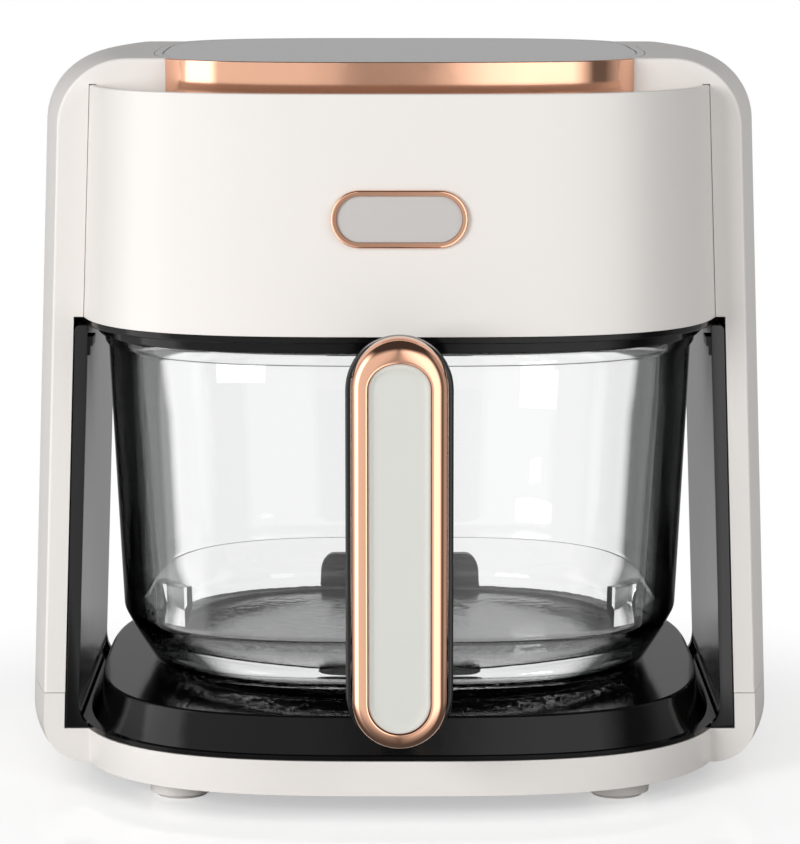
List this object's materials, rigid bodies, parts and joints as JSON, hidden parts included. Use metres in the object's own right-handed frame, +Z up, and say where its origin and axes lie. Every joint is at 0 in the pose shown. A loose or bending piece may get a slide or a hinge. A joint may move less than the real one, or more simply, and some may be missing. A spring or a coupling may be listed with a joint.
{
  "type": "glass air fryer",
  "caption": "Bridge-shaped countertop air fryer: a thick glass bowl with an upright handle slides out forwards from under a fan and heater head.",
  "frame": {"origin": "middle of the footprint of the whole object, on the surface that the feet stand on", "axes": "+Z up, the front with the handle faces -Y, +X to the right seen from the front"},
  "size_m": [0.325, 0.3356, 0.3108],
  "materials": {
    "cream": "warm cream moulded plastic, satin gloss",
    "black": "black polished plastic",
    "clear_glass": "thick clear borosilicate glass",
    "rose_gold": "polished rose-gold metal",
    "panel_grey": "grey-cream glossy panel",
    "sage": "pale sage-grey satin plastic",
    "silicone": "soft black silicone",
    "rubber_pad": "dark grip rubber",
    "steel": "bright steel sheet",
    "coil_steel": "heat-darkened steel sheath",
    "aluminium": "pressed aluminium",
    "winding": "enamelled copper winding on laminations",
    "board_green": "green circuit board",
    "ceramic": "white ceramic",
    "screw_zinc": "zinc-plated screws",
    "badge_pale": "bare pale plate"
  },
  "bodies": {
    "housing": {"arch_shell": "cream", "base_shell": "cream", "head_front_cover": "cream", "head_rear_cover": "cream", "feet": "cream", "top_frame": "panel_grey", "touch_panel": "panel_grey", "foot_pads": "rubber_pad", "base_bottom_plate": "black", "bottom_screws": "screw_zinc", "base_tray": "black", "leg_liner_left": "black", "leg_liner_right": "black", "bowl_guides": "black", "chamber_ring": "black", "rear_vent_grille": "black", "cord_inlet": "black", "bowl_stop": "black", "interlock_switch": "black", "trim_band_front": "rose_gold", "trim_band_rear": "rose_gold", "badge_bezel": "rose_gold", "badge_plate": "badge_pale", "reflector_dome": "aluminium", "heat_shield": "steel", "element_guard": "steel", "heater_coil": "coil_steel", "heater_bushes": "ceramic", "shield_screws": "screw_zinc", "ring_screws": "screw_zinc", "motor_mount": "steel", "motor_can": "steel", "motor_end_cap": "steel", "bearings": "steel", "stator": "winding", "display_board": "board_green", "power_board": "board_green", "board_standoffs": "ceramic", "thermal_cutout": "ceramic", "temperature_probe": "steel"},
    "bowl": {"glass_bowl": "clear_glass", "handle_shell": "black", "handle_frame": "rose_gold", "handle_insert": "sage", "handle_bracket": "black", "clamp_plate": "steel", "gasket_inner": "silicone", "gasket_outer": "silicone", "handle_bolts": "steel", "handle_screws": "screw_zinc"},
    "fan_rotor": {"motor_shaft": "steel", "rotor_core": "aluminium", "hot_fan": "aluminium", "cooling_fan": "black", "fan_nut": "steel"},
    "interlock_plunger": {"interlock_button": "sage"}
  },
  "joints": [
    {"name": "bowl_slide", "type": "slide", "parent": "housing", "child": "bowl", "axis": [0, -1, 0], "range_m": [0, 0.3]},
    {"name": "fan_spin", "type": "hinge", "parent": "housing", "child": "fan_rotor", "pos_m": [0, 0.0222, 0.24], "axis": [0, 0, 1], "continuous": true},
    {"name": "interlock_press", "type": "slide", "parent": "housing", "child": "interlock_plunger", "axis": [0, 1, 0], "range_m": [0, 0.0018], "stiffness_N_per_m": 300}
  ]
}
